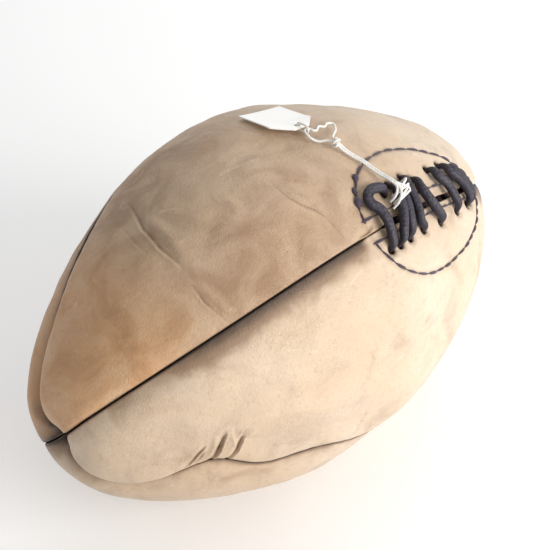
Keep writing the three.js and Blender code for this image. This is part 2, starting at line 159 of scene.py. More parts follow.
def angle_at(t, across):
    """The angle that lies this far across from seam A."""
    return seam_a(t) + across / seam_radius(t)


def across_at(t, angle):
    return (angle - seam_a(t)) * seam_radius(t)


def near_seam_a(sides, share):
    """Whether the nearer of a panel's two seams is seam A."""
    return np.where(share < 0.5, *[seam is seam_a for seam in sides])


def full_swell(t):
    to_tip = np.minimum(t, math.pi - t) / END_SWELL_AT
    return MID_SWELL * np.sin(t) ** 2 + END_SWELL * to_tip * np.exp(1 - to_tip)


def swell_at(t, share, sides):
    """A panel's swell when new: sunk at its seams, but not beside the slit."""
    groove = np.abs(2 * share - 1) ** SWELL_POWER * (1 - near_seam_a(sides, share) * slit_share(t))
    return full_swell(t) * (1 - groove)


# A worn panel rolls over one neighbour's edge and slopes down to the other's. Higher is fuller.
FULLNESS = {"top": (7, 16), "front": (4, 14), "bottom": (4.5, 6), "back": (6, 4)}
EDGE_NAMES = {"top": "BA", "front": "AC", "bottom": "CD", "back": "DB"}


def worn_swell(t, share, side):
    """A panel's swell now that slack leather has filled part of the grooves."""
    filled = {
        "A": 0.78 + 0.22 * slit_share(t),
        "B": 0.3,
        "C": 0.55,
        "D": 0.3 + 0.66 * smooth(-50, -115, x_at(t)),
    }
    groove = np.abs(2 * share - 1) ** np.where(share < 0.5, *FULLNESS[side])
    groove = groove * (1 - np.where(share < 0.5, *[filled[seam] for seam in EDGE_NAMES[side]]))
    return full_swell(t) * (1 - groove)


def casing_point(t, angle, depth, swell):
    """Points at t (0 at the -X tip, pi at the +X tip), angle about X from +Y to +Z, and depth."""
    from_roll = angle - ROLL
    stretch = 1 + np.sin(t) ** 2 * (LEAN * np.cos(from_roll) + OVAL * np.cos(2 * from_roll))
    slope_x = -SEAM_RADIUS * END_POINT * np.sin(t) ** (END_POINT - 1) * np.cos(t)
    slope_y = HALF_LENGTH * np.sin(t)
    out = (swell - depth) / np.hypot(slope_x, slope_y)
    radius = seam_radius(t) * stretch + slope_y * out
    z = np.maximum(radius * np.sin(angle), REST_LEVEL + depth)
    return np.stack(np.broadcast_arrays(x_at(t) + slope_x * out, radius * np.cos(angle), z), -1) + AXIS


def beside_seam_a(x, across, depth):
    """Points x along the ball and across from seam A (positive towards seam C), at a depth."""
    t = t_at(x)
    across, depth = np.asarray(across, float), np.asarray(depth, float)
    angle = angle_at(t, across)
    swells = []
    for start, end in (PANELS["top"], PANELS["front"]):
        share = np.clip((angle - start(t)) / (end(t) - start(t)), 0, 1)
        swells.append(swell_at(t, share, (start, end)))
    return casing_point(t, angle, depth, np.where(across < 0, *swells))


def laid(route):
    """Route points given as (x, across, height above the leather)."""
    x, across, height = np.array(route, float).T
    return beside_seam_a(x, across, -height)


# ---- general helpers ----
def wander(points, wavelength, seed, waves=14):
    """Smooth noise from -1 to 1 at points, with features about a wavelength across."""
    rng = np.random.default_rng(seed)
    total = 0
    for _ in range(waves):
        way = rng.normal(size=points.shape[-1])
        way *= rng.uniform(0.7, 1.4) / (np.linalg.norm(way) * wavelength)
        total = total + np.sin(CIRCLE * (points @ way + rng.random()))
    return total / math.sqrt(waves * 2)


def add_object(name, data):
    made = bpy.data.objects.new(name, data)
    bpy.context.scene.collection.objects.link(made)
    return made


def mesh(name, points, faces, attributes=None):
    """A smooth mesh object from points in millimetres, with named values on its points."""
    data = bpy.data.meshes.new(name)
    data.from_pydata((np.asarray(points) * MM).tolist(), [], faces)
    data.polygons.foreach_set("use_smooth", [True] * len(data.polygons))
    for key, values in (attributes or {}).items():
        layer = data.attributes.new(key, "FLOAT", "POINT")
        layer.data.foreach_set("value", np.asarray(values, np.float32).ravel())
    data.update()
    return add_object(name, data)


def thick_sheet(name, outer, inner, keep=None, attributes=None):
    """A closed shell between two grids of the same size. keep is False where a hole goes through."""
    rows, columns = outer.shape[:2]
    count = rows * columns
    corner = np.arange(count).reshape(rows, columns)
    front = np.stack([corner[:-1, :-1], corner[1:, :-1], corner[1:, 1:], corner[:-1, 1:]], -1)
    front = front.reshape(-1, 4) if keep is None else front[keep]
    edges = {}
    for a, b, c, d in front.tolist():
        for edge in ((a, b), (b, c), (c, d), (d, a)):
            if edges.pop(edge[::-1], None) is None:
                edges[edge] = True
    rim = [[a, b, b + count, a + count] for a, b in edges]
    faces = np.concatenate([front[:, ::-1], front + count, rim])
    used, renumbered = np.unique(faces, return_inverse=True)
    points = np.concatenate([outer.reshape(-1, 3), inner.reshape(-1, 3)])[used]
    values = {key: np.tile(np.ravel(value), 2)[used] for key, value in (attributes or {}).items()}
    return mesh(name, points, renumbered.reshape(-1, 4).tolist(), values)


def hole_cut(x, y, middle, radius):
    """A grid drawn in to the rim of a round hole, and the faces that the hole takes."""
    centre_x = (x[1:, 1:] + x[:-1, :-1]) / 2 - middle[0]
    centre_y = (y[1:, 1:] + y[:-1, :-1]) / 2 - middle[1]
    gone = np.hypot(centre_x, centre_y) < radius
    touched = np.zeros(x.shape, int)
    for row, column in ((0, 0), (1, 0), (0, 1), (1, 1)):
        touched[row : row + gone.shape[0], column : column + gone.shape[1]] += gone
    away = np.hypot(x - middle[0], y - middle[1])
    pull = np.where((touched > 0) & (touched < 4), radius / np.maximum(away, 1e-6), 1)
    return middle[0] + (x - middle[0]) * pull, middle[1] + (y - middle[1]) * pull, gone


def normals_of(points):
    along, across = np.gradient(points, axis=0), np.gradient(points, axis=1)
    normal = np.cross(across, along)
    normal /= np.maximum(np.linalg.norm(normal, axis=-1, keepdims=True), 1e-9)
    outward = (normal * (points - AXIS)).sum(-1).mean()
    return normal if outward > 0 else -normal


def distances(line):
    return np.concatenate([[0], np.cumsum(np.linalg.norm(np.diff(line, axis=0), axis=1))])


def blend(values, knots, at):
    """Between two values, for a place between their two knots."""
    (first, last), (start, end) = values, knots
    return (end - at) / (end - start) * first + (at - start) / (end - start) * last


def curve_through(points, spacing):
    """A centripetal Catmull-Rom curve, resampled. Columns after x, y and z go along with it."""
    points = np.asarray(points, float)
    ends = np.array([2 * points[0] - points[1], *points, 2 * points[-1] - points[-2]])
    knots = np.concatenate([[0], np.cumsum(np.linalg.norm(np.diff(ends[:, :3], axis=0), axis=1) ** 0.5)])
    fine = []
    for i in range(1, len(ends) - 2):
        p, k = ends[i - 1 : i + 3], knots[i - 1 : i + 3]
        at = np.linspace(k[1], k[2], 24, endpoint=i == len(ends) - 3)[:, None]
        thirds = [blend(p[j : j + 2], k[j : j + 2], at) for j in range(3)]
        halves = [blend(thirds[j : j + 2], k[j : j + 3 : 2], at) for j in range(2)]
        fine.append(blend(halves, k[1:3], at))
    fine = np.concatenate(fine)
    along = distances(fine[:, :3])
    steps = np.linspace(0, along[-1], max(4, round(along[-1] / spacing)) + 1)
    return np.stack([np.interp(steps, along, column) for column in fine.T], axis=1)


def frames_along(line, closed=False):
    """Two unit vectors across a line at each of its points, turning as little as they can."""
    if closed:
        tangent = np.roll(line, -1, axis=0) - np.roll(line, 1, axis=0)
    else:
        tangent = np.gradient(line, axis=0)
    tangent /= np.linalg.norm(tangent, axis=1, keepdims=True)
    start = line[0] - AXIS
    across = np.empty_like(line)
    for i, way in enumerate(tangent):
        start = start - way * (start @ way)
        start /= np.linalg.norm(start)
        across[i] = start
    if closed:
        first = across[0] - tangent[-1] * (across[0] @ tangent[-1])
        side = np.cross(tangent[-1], across[-1])
        slip = math.atan2(first @ side, first @ across[-1])
        turn = slip * np.linspace(0, 1, len(line))[:, None]
        across = across * np.cos(turn) + np.cross(tangent, across) * np.sin(turn)
    return across, np.cross(tangent, across)


def spokes(line, turn, closed=False):
    """Unit vectors out from each point of a line, at each turn about it."""
    up, side = frames_along(line, closed)
    return np.cos(turn)[:, None] * up[:, None] + np.sin(turn)[:, None] * side[:, None]


def swept(line, radii, closed=False):
    """A tube's points and faces, from its radius at each point of a line and each turn."""
    count, sides = radii.shape
    points = line[:, None] + spokes(line, full_turn(sides), closed) * radii[..., None]
    ring = np.arange(count * sides).reshape(count, sides)
    ahead = np.roll(ring, -1, axis=0)
    quads = np.stack([ring, np.roll(ring, -1, axis=1), np.roll(ahead, -1, axis=1), ahead], -1)
    faces = quads[: count if closed else -1].reshape(-1, 4).tolist()
    if not closed:
        faces += [ring[0, ::-1].tolist(), ring[-1].tolist()]
    return points.reshape(-1, 3), faces


THREAD_PLIES = 3


def thread(line, radius, pitch, sides, closed=False):
    """A tube of twisted plies: its points, its faces and their height on a ply."""
    turn = full_turn(sides) - CIRCLE * distances(line)[:, None] / pitch
    ply = np.abs(np.cos(0.5 * THREAD_PLIES * turn))
    return *swept(line, radius * (0.84 + 0.16 * ply), closed), ply.ravel()


def joined(name, tubes):
    """One mesh of several tubes, each given as points, faces and ply values."""
    faces, start = [], 0
    for points, tube_faces, _ in tubes:
        faces += [[i + start for i in face] for face in tube_faces]
        start += len(points)
    points, _, plies = zip(*tubes)
    return mesh(name, np.concatenate(points), faces, {"ply": np.concatenate(plies)})


# ---- material helpers ----
class Paint:
    """A Principled material built from nodes, with short calls for the nodes it uses."""

    def __init__(self, name):
        self.material = bpy.data.materials.new(name)
        self.material.use_nodes = True
        self.tree = self.material.node_tree
        self.place = self.node("ShaderNodeTexCoord", "Object")

    def put(self, source, target):
        """Gives an input another node's output, a number, a vector or a colour."""
        if isinstance(source, bpy.types.NodeSocket):
            self.tree.links.new(source, target)
        else:
            target.default_value = (*source, 1) if target.type == "RGBA" else source

    def node(self, kind, output, inputs=(), **settings):
        made = self.tree.nodes.new(kind)
        for key, value in settings.items():
            setattr(made, key, value)
        for key, value in dict(inputs).items():
            self.put(value, made.inputs[key])
        return made.outputs[output]

    def stretched(self, scale):
        return self.node("ShaderNodeMapping", "Vector", {"Vector": self.place, "Scale": scale})

    def warped(self, scale, amount):
        """The object's coordinates, pushed about by a noise."""
        noise = self.node("ShaderNodeTexNoise", "Color", {"Vector": self.place, "Scale": scale})
        inputs = {0: noise, 1: (amount, amount, amount), 2: self.place}
        return self.node("ShaderNodeVectorMath", 0, inputs, operation="MULTIPLY_ADD")

    def noise(self, scale, detail=3, roughness=0.5, distortion=0, place=None):
        inputs = {"Scale": scale, "Detail": detail, "Roughness": roughness, "Distortion": distortion}
        return self.node("ShaderNodeTexNoise", "Fac", {"Vector": place or self.place, **inputs})

    def cells(self, scale, feature, place=None, **more):
        inputs = {"Vector": place or self.place, "Scale": scale, **more}
        return self.node("ShaderNodeTexVoronoi", "Distance", inputs, feature=feature)

    def attribute(self, name):
        return self.node("ShaderNodeAttribute", "Fac", attribute_name=name)

    def span(self, value, low, high, to_low=0, to_high=1):
        inputs = {"Value": value, "From Min": low, "From Max": high, "To Min": to_low, "To Max": to_high}
        return self.node("ShaderNodeMapRange", "Result", inputs, interpolation_type="SMOOTHSTEP")

    def times(self, a, b):
        return self.node("ShaderNodeMath", 0, {0: a, 1: b}, operation="MULTIPLY")

    def plus(self, a, b):
        return self.node("ShaderNodeMath", 0, {0: a, 1: b}, operation="ADD")

    def mix(self, share, a, b):
        return self.node("ShaderNodeMix", 2, {0: share, 6: a, 7: b}, data_type="RGBA")

    def bump(self, height, distance, strength=1, below=None):
        inputs = {"Distance": distance * MM, "Strength": strength, "Height": height}
        if below is not None:
            inputs["Normal"] = below
        return self.node("ShaderNodeBump", "Normal", inputs)

    def finish(self, colour, roughness, normal, constants=()):
        shader = self.tree.nodes["Principled BSDF"]
        inputs = {"Base Color": colour, "Roughness": roughness, "Normal": normal, **dict(constants)}
        for key, value in inputs.items():
            self.put(value, shader.inputs[key])
        return self.material


def hide_colour(paint, tone, mottle):
    """Tanned hide, painted dull brown where in shade and pale tan where lit, and redder where hands have
    held it.
    """
    blotch = paint.span(paint.noise(9, 4, 0.55, 0.6), 0.3, 0.7)
    shaded_hide = paint.mix(blotch, (0.315, 0.175, 0.09), (0.365, 0.25, 0.163))
    lit_hide = paint.mix(blotch, (0.6, 0.465, 0.33), (0.71, 0.6, 0.485))
    # Painted light and shade: a shaded and a lit copy of the hide, mixed by the painted tone.
    colour = paint.mix(tone, shaded_hide, lit_hide)
    along = paint.node("ShaderNodeSeparateXYZ", 0, {0: paint.place})
    handled = paint.times(paint.span(along, -0.075, -0.12), paint.span(tone, 0.5, 0.1))
    colour = paint.mix(paint.times(handled, 0.9), colour, (0.52, 0.285, 0.135))
    colour = paint.mix(paint.span(mottle, 0.35, 0.75, 0, 0.5), colour, (0.66, 0.5, 0.34))
    return paint.mix(paint.span(mottle, 0.5, 0.2, 0, 0.45), colour, (0.24, 0.14, 0.075))


def worn_marks(paint, tone, crackle, colour):
    speck = paint.span(paint.noise(420, 3, 0.6), 0.52, 0.75, 0, 0.2)
    scuff = paint.span(paint.noise(70, 6, 0.7, 2.5, paint.stretched((0.35, 1, 1))), 0.6, 0.72, 0, 0.35)
    stain = paint.span(paint.noise(24, 6, 0.75, 1.4), 0.6, 0.74, 0, 0.4)
    colour = paint.mix(speck, colour, (0.22, 0.13, 0.07))
    colour = paint.mix(scuff, colour, (0.75, 0.62, 0.47))
    colour = paint.mix(paint.times(stain, paint.span(tone, 1, 0.2)), colour, (0.2, 0.125, 0.075))
    return paint.mix(paint.times(crackle, 0.05), colour, (0.3, 0.19, 0.11))


def seam_dirt_and_shade(paint, mottle, colour):
    """Painted shade in creases, dents and round the lacing, and soil with painted shade that is brown and
    ragged beside the seams and black in them.
    """
    crease = paint.times(paint.attribute("crease"), paint.span(paint.noise(160, 4), 0.25, 0.6, 0.5, 1))
    groove = paint.attribute("groove")
    ragged = paint.plus(groove, paint.span(mottle, 0.25, 0.75, -0.2, 0.2))
    # Painted shade in the creases, the dents and round the lacing.
    colour = paint.mix(crease, colour, (0.115, 0.064, 0.034))
    # Brown soil and painted shadow beside the seams.
    colour = paint.mix(paint.span(ragged, 0.06, 0.6, 0, 0.85), colour, (0.2, 0.115, 0.062))
    # Black dirt and painted shade down in the seams.
    return paint.mix(paint.span(groove, 0.5, 0.95, 0, 0.95), colour, (0.042, 0.024, 0.015))


def casing_leather():
    paint = Paint("casing_leather")
    mottle = paint.noise(42, 5, 0.6, 0.8)
    tone = paint.attribute("tone")
    crackle = paint.span(paint.cells(420, "DISTANCE_TO_EDGE", paint.warped(240, 0.006)), 0.1, 0)
    crackle = paint.times(crackle, paint.span(paint.noise(38, 5, 0.6), 0.42, 0.62))
    colour = worn_marks(paint, tone, crackle, hide_colour(paint, tone, mottle))
    colour = seam_dirt_and_shade(paint, mottle, colour)
    rough = paint.span(paint.noise(60, 4, 0.6), 0.3, 0.7, 0.46, 0.62)
    normal = paint.bump(paint.noise(260, 5, 0.65, 1.2), 0.28, 0.8)
    normal = paint.bump(paint.times(crackle, -1), 0.07, 1, normal)
    normal = paint.bump(paint.cells(1150, "SMOOTH_F1", Smoothness=0.35), 0.1, 0.8, normal)
    normal = paint.bump(paint.noise(3200, 2, 0.5), 0.03, 0.7, normal)
    return paint.finish(colour, rough, normal, {"Specular IOR Level": 0.42, "Sheen Weight": 0.06})


def inner_leather(name, dark, light):
    paint = Paint(name)
    fibre = paint.noise(900, 5, 0.7)
    colour = paint.mix(paint.span(paint.noise(70, 4), 0.3, 0.7), dark, light)
    colour = paint.mix(paint.span(fibre, 0.4, 0.8, 0, 0.4), colour, (0.55, 0.38, 0.25))
    rough = paint.span(fibre, 0.2, 0.8, 0.7, 0.9)
    return paint.finish(colour, rough, paint.bump(fibre, 0.15), {"Sheen Weight": 0.2})


def lace_leather():
    paint = Paint("lace_leather")
    worn = paint.noise(130, 5, 0.6, 0.6)
    grain = paint.noise(1500, 4, 0.65)
    colour = paint.mix(paint.span(worn, 0.3, 0.75), (0.009, 0.007, 0.015), (0.028, 0.022, 0.038))
    # Painted highlight on the lace's upper side, in patches.
    colour = paint.mix(paint.attribute("rub"), colour, (0.088, 0.08, 0.1))
    colour = paint.mix(paint.span(grain, 0.5, 0.8, 0, 0.6), colour, (0.095, 0.083, 0.105))
    normal = paint.bump(paint.attribute("strip"), 0.25)
    normal = paint.bump(paint.cells(1500, "SMOOTH_F1", Smoothness=0.3), 0.09, 1, normal)
    normal = paint.bump(grain, 0.07, 1, normal)
    return paint.finish(colour, paint.span(worn, 0.25, 0.8, 0.5, 0.68), normal, {"Specular IOR Level": 0.4})


def thread_material(name, dark, light, twist=0.1):
    """Spun thread, with shade painted between its plies."""
    paint = Paint(name)
    fibre = paint.noise(2600, 4, 0.65)
    ply = paint.attribute("ply")
    colour = paint.mix(paint.span(fibre, 0.3, 0.75), dark, light)
    # Painted shade between the plies.
    colour = paint.mix(paint.span(ply, 0.45, 0, 0, 0.75), colour, tuple(0.55 * value for value in dark))
    normal = paint.bump(fibre, 0.06, 0.8, paint.bump(ply, twist))
    return paint.finish(colour, paint.span(fibre, 0.2, 0.8, 0.72, 0.92), normal, {"Sheen Weight": 0.25})


def woven_cotton():
    paint = Paint("lining_cotton")
    weave = []
    for scale in ((900, 20, 20), (20, 900, 900)):
        inputs = {"Vector": paint.stretched(scale), "Scale": 1, "Distortion": 0.6}
        weave.append(paint.node("ShaderNodeTexWave", "Fac", inputs, wave_type="BANDS", bands_direction="X"))
    cloth = paint.times(*weave)
    colour = paint.mix(paint.span(paint.noise(30, 4), 0.35, 0.7), (0.6, 0.52, 0.38), (0.76, 0.7, 0.57))
    # Painted shade between the threads of the weave.
    colour = paint.mix(paint.span(cloth, 0.3, 0, 0, 0.5), colour, (0.4, 0.33, 0.23))
    return paint.finish(colour, 0.95, paint.bump(cloth, 0.2), {"Sheen Weight": 0.3})


def rubber():
    paint = Paint("bladder_rubber")
    bloom = paint.noise(40, 5, 0.6, 0.5)
    colour = paint.mix(paint.span(bloom, 0.3, 0.75), (0.33, 0.1, 0.065), (0.47, 0.21, 0.15))
    normal = paint.bump(paint.noise(90, 4, 0.6, 2), 0.5)
    normal = paint.bump(paint.noise(1800, 3), 0.05, 1, normal)
    return paint.finish(colour, paint.span(bloom, 0.3, 0.8, 0.5, 0.75), normal)


CARD_PAINTED_GLOW = 0.07  # painted light: a glow that makes the card brighter than the lamps make it


def white_card():
    paint = Paint("white_card")
    fibre = paint.noise(1700, 5, 0.6)
    soil = paint.span(paint.noise(80, 4, 0.6), 0.45, 0.85, 0, 0.5)
    colour = paint.mix(soil, (0.97, 0.965, 0.945), (0.89, 0.875, 0.83))
    colour = paint.mix(paint.attribute("edge"), colour, (0.72, 0.69, 0.62))
    # Painted light: the card glows a little.
    glow = {"Emission Color": (1, 1, 1), "Emission Strength": CARD_PAINTED_GLOW}
    return paint.finish(colour, paint.span(fibre, 0.3, 0.7, 0.55, 0.7), paint.bump(fibre, 0.05), glow)


PAINTS = {
    "casing_leather": casing_leather(),
    "inner_leather": inner_leather("inner_leather", (0.3, 0.14, 0.075), (0.46, 0.27, 0.16)),
    "lace_leather": lace_leather(),
    "dark_thread": thread_material("dark_thread", (0.035, 0.022, 0.04), (0.095, 0.068, 0.1)),
    "seam_twine": thread_material("seam_twine", (0.2, 0.12, 0.065), (0.34, 0.23, 0.14)),
    "white_string": thread_material("white_string", (0.74, 0.72, 0.67), (0.93, 0.92, 0.89), 0.16),
    "lining_cotton": woven_cotton(),
    "bladder_rubber": rubber(),
    "white_card": white_card(),
}
TONGUE_PAINT = inner_leather("tongue_leather", (0.42, 0.2, 0.13), (0.62, 0.4, 0.29))


def place(piece, slot_name, *nodes, body="ball", paint=None):
    """Paints a new piece, rides it on its body and hides the CAD nodes it stands for."""
    piece.data.materials.append(paint or PAINTS[slot_name])
    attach(piece, body)
    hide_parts(*nodes)
    return piece


# ---- what age and use did to the leather ----
# Each crease: where it runs, as (x, degrees about the ball), its depth, its width and how dark the shade
# painted in it is.
CREASES = [
    ([(-71, 68), (-80, 83), (-83, 95), (-83, 106)], 1.2, 1.6, 0.85),
    ([(-85, 112), (-85.5, 120), (-84.5, 124), (-83, 130)], 0.8, 1.2, 0.85),
    ([(-82, 71), (-86, 83), (-87.5, 92)], 0.35, 1.3, 0.3),
    ([(-30, 102), (-29, 110), (-26.5, 114), (-23, 117.5), (-21, 121), (-19.5, 129)], 0.6, 1.1, 0.85),
    ([(-27, 104), (-25, 110), (-21, 113)], 0.4, 0.9, 0.35),
    ([(-12, 131.5), (-5.8, 131.8), (-1.5, 130.5)], 0.7, 1.3, 0.75),
    ([(-114, 183), (-110.6, 177.4), (-107.4, 173)], 1.1, 0.75, 0.9),
    ([(-111.6, 182), (-109.4, 178.5), (-108, 176)], 0.5, 0.6, 0.6),
    ([(-106.2, 184), (-103.4, 178.8), (-101.8, 174.7), (-100, 169.5)], 2.1, 0.9, 1),
    ([(-100.5, 186), (-96.6, 181.7), (-94.8, 178), (-93.6, 175)], 1.7, 0.85, 0.9),
    ([(-96.6, 168.4), (-96.6, 173), (-96.3, 178)], 0.8, 1.5, 0.22),
    ([(-92.6, 170), (-94.6, 174)], 0.9, 1.2, 0.35),
    ([(-95, 176.2), (-90.5, 178), (-86, 180)], 0.4, 1, 0.16),
    ([(-37.5, 198), (-34.5, 192), (-32, 187.5)], 0.7, 0.9, 0.5),
    ([(-39.5, 199), (-36.5, 194), (-34.5, 190)], 0.4, 0.7, 0.35),
    ([(-62, 187), (-52, 186), (-42, 188)], 0.4, 1.8, 0.1),
]
# Each dent: its middle as (x, degrees), its half length and width, its tilt, its depth and how dark the
# shadow painted in it is.
DENTS = [
    ((11, 81), 40, 27, 0, 1.7, 0),
    ((76, 67), 42, 33, 0, 3.6, 0),
    ((-70, 184), 34, 10, 13, 3.4, 0.15),
    ((-92, 178), 12, 10, 0, 1.6, 0.12),
    ((-104, 50), 46, 44, 0, 3.4, 0),
    ((-84, 374), 52, 44, 0, 3.6, 0),
]
# The ridge over the hollow that the sagging leather has folded into.
RIDGES = [
    ([(-97, 164), (-91, 166), (-83, 166.5), (-73, 169), (-62, 173.5), (-46, 176.5), (-29, 179)], 1.3, 3.6),
]


def surface_gap(x, angle, radius, point):
    """Millimetres along and across from a point given as (x, degrees)."""
    return x - point[0], (angle - math.radians(point[1])) * radius


def nearest_on(points, x, angle, radius):
    """The distance to a line of (x, degrees), how strong it is there, and the side it is on."""
    nearest = np.full(x.shape, 1e9)
    fade = np.zeros_like(x)
    turned = np.zeros_like(x)
    spans = len(points) - 1
    for i, (a, b) in enumerate(zip(points, points[1:])):
        along, across = surface_gap(x, angle, radius, a)
        reach_x = b[0] - a[0]
        reach_y = math.radians(b[1] - a[1]) * radius
        share = np.clip((along * reach_x + across * reach_y) / (reach_x**2 + reach_y**2), 0, 1)
        gap = np.hypot(along - share * reach_x, across - share * reach_y)
        closer = gap < nearest
        nearest = np.where(closer, gap, nearest)
        fade = np.where(closer, np.sin(math.pi * (0.04 + 0.92 * (i + share) / spans)) ** 0.7, fade)
        turned = np.where(closer, np.sign(along * reach_y - across * reach_x), turned)
    return nearest, fade, turned


def crease_field(x, angle, radius, ripple):
    """How deep the creases press in, and how dark the shade painted in them is."""
    depth = np.zeros_like(x)
    dark = np.zeros_like(x)
    for points, press, width, shade in CREASES:
        nearest, fade, turned = nearest_on(points, x, angle, radius)
        off = nearest / (width * (1 + 0.55 * turned)) + 0.3 * ripple
        depth += press * fade * (hump(off, 1) - 0.45 * hump(off - 1.9, 1))
        dark = np.maximum(dark, shade * fade * hump(nearest, 0.42 * width))
    return depth, dark


def dent_field(x, angle, radius):
    """How deep the slack leather has sunk, and how dark the shadow painted there is."""
    depth = np.zeros_like(x)
    dark = np.zeros_like(x)
    for points, raised, width in RIDGES:
        gap, fade, _ = nearest_on(points, x, angle, radius)
        depth -= raised * fade * hump(gap, width)
    for middle, half_long, half_wide, tilt, press, shade in DENTS:
        along, across = surface_gap(x, angle, radius, middle)
        turn = math.radians(tilt)
        u = along * math.cos(turn) + across * math.sin(turn)
        v = across * math.cos(turn) - along * math.sin(turn)
        sunk = hump(u, half_long) * hump(v, half_wide)
        depth += press * sunk
        dark = np.maximum(dark, shade * sunk)
    return depth, dark


# ---- leather panels ----
HOLE_RADIUS = 2.0  # the worn leather has closed round the lace
LIP_RADIUS = 0.8  # of the leather where it turns in to a seam
PUCKER_PITCH = 7.5
# Where rows are closer, the panels are parted, their edges are drawn shut and the seam's soil and painted
# shade are lessened, along x.
LACING = (-14, -6, 90, 98)
PARTED = (1, 10, 88, 98)
DRAWN_SHUT = (-22, -10, 98, 110)
SEAM_DARK_LESSENED = (-14, -7, 96, 106)
# The patch that lies flat under the tag, along x and across from seam A.
UNDER_TAG = ((-26, -14, 30, 44), (-108, -94, -14, -4))
# How far the dark line of dirt and painted shade reaches at each panel's two seams, how far the brown band
# of soil and painted shadow reaches, and how strong it is.
SEAM_SOIL_AND_SHADE = {
    "top": ((0.6, 0.35), 4.5, (0.2, 0.06)),
    "front": ((0.4, 0.6), 8.5, (0.85, 0.12)),
    "bottom": ((0.8, 0.9), 6, (0.2, 0.26)),
    "back": ((0.8, 1), 8.5, (0.27, 0.28)),
}
# Painted light and shade on the hide: from dull brown in shade, 0, to pale tan where lit, 1, at each
# panel's -X and +X ends.
PAINTED_LIGHT_TONES = {"top": (-0.1, 1), "front": (0.72, 1), "bottom": (0.6, 0.9), "back": (0, 0.5)}
# Where the creases need closer rows: from x to x, and how many more rows per millimetre.
CLOSE_ROWS = {"top": [(-91, -69, 1), (-33, -16, 1)], "front": [(-116, -90, 1.9)]}


def spread(*runs):
    """Numbers from run to run: each run is (up to, steps), starting from 0."""
    values, start = [], 0.0
    for end, steps in runs:
        values += list(np.linspace(start, end, steps, endpoint=False))
        start = end
    return np.array([*values, start])


def panel_rows(side):
    """t along a panel, closer together at the lacing, the creases and the tips."""
    x = np.linspace(-0.998, 0.998, 4000) * HALF_LENGTH
    per_mm = 0.58 + 0.42 * between(x, *LACING) * (side in LACED)
    for low, high, extra in CLOSE_ROWS.get(side, []):
        per_mm += extra * between(x, low - 4, low + 1, high - 1, high + 4)
    slope = np.hypot(1, np.gradient(seam_radius(t_at(x)), x))
    count = np.cumsum(slope * per_mm + 0.4 * (np.abs(x) > 120)) * (x[1] - x[0])
    rows = np.interp(np.linspace(count[0], count[-1], int(count[-1])), count, x)
    return np.concatenate([[TIP], t_at(rows)[1:-1], [math.pi - TIP]])


def snap_to_holes(t, angle, side):
    """A panel's grid drawn in to its lace holes' rims, and the faces that stay."""
    keep = np.ones((t.shape[0] - 1, t.shape[1] - 1), bool)
    x, across = x_at(t), across_at(t, angle)
    for hole in HOLES.get(side, []):
        x, across, gone = hole_cut(x, across, hole, HOLE_RADIUS)
        keep &= ~gone
    t = t_at(x)
    return t, angle_at(t, across), keep


def outline(along, half_wide):
    return half_wide * np.sqrt(np.maximum(1 - along**2, 0)) * (1 - FACING_TAPER * along)


def ring_gap(x, across):
    """Rough distance from the stitched outline round the lacing, negative inside."""
    half_long, half_wide = (half * STITCH_INSET for half in FACING_HALF)
    along = (x - FACING_CENTRE) / half_long
    wide = half_wide * (1 - FACING_TAPER * np.clip(along, -1, 1))
    return (np.hypot(along, across / wide) - 1) * half_wide


def panel_edges(side, t):
    """The angles of a panel's two edges, parted along the slit."""
    ends = []
    for seam, way in zip(PANELS[side], (1, -1)):
        gap = SEAM_GAP + SLIT_GAP * between(x_at(t), *PARTED) * (seam is seam_a)
        ends.append(seam(t) + way * gap / np.maximum(seam_radius(t), 1))
    return ends


def worn_depth(side, t, angle, edge):
    """How far in the leather has gone since it was new, and how dark the shade painted in its creases and
    dents is.
    """
    x, radius = x_at(t), seam_radius(t)
    spot = casing_point(t, angle, 0, 0)
    seed = 10 * (1 + list(PANELS).index(side))
    ripple = wander(spot, 9, seed + 2)
    press, dark = crease_field(x, angle, radius, ripple)
    sunk, shaded = dent_field(x, angle, radius)
    lumps = 0.7 * wander(spot, 62, seed + 3) + 0.25 * wander(spot, 19, seed + 4)
    under_tag = between(x, *UNDER_TAG[0]) * between(across_at(t, angle), *UNDER_TAG[1])
    lumps = np.where(lumps > 0, lumps * (1 - under_tag), lumps) * smooth(0, 14, edge)
    return press + sunk - lumps + 0.05 * ripple, np.maximum(dark, shaded)


def turned_in(side, t, angle, edge):
    """How far an edge curls down into its seam, with its puckers."""
    drawn_shut = between(x_at(t), *DRAWN_SHUT) * (side in LACED)
    lip = np.minimum(LIP_RADIUS * (1 - 0.5 * drawn_shut), 0.45 * seam_radius(t))
    curl = lip - np.sqrt(np.maximum(lip**2 - np.maximum(lip - edge, 0) ** 2, 0))
    drift = wander(casing_point(t, angle, 0, 0), 40, list(PANELS).index(side))
    pull = 0.5 - 0.5 * np.cos(CIRCLE * x_at(t) / PUCKER_PITCH - 2 * drift)
    return curl + 0.3 * pull * np.exp(-edge / 4.5) * smooth(0, 2, edge)


def round_the_lacing(x, across, side):
    """How far the stitches and the lace draw the leather in, and the shade painted along the stitches and
    round the holes.
    """
    ring = ring_gap(x, across)
    depth = 0.45 * hump(ring, 1.3) - 0.4 * smooth(1, -3, ring) * smooth(1, 9, np.abs(across))
    dark = 0.25 * hump(ring, 0.8)
    for hole_x, hole_across in HOLES[side]:
        rim = np.maximum(np.hypot(x - hole_x, across - hole_across) - HOLE_RADIUS, 0)
        depth += hump(rim, 1.2)
        dark = np.maximum(dark, 0.55 * np.exp(-rim / 0.5))
    return depth, dark


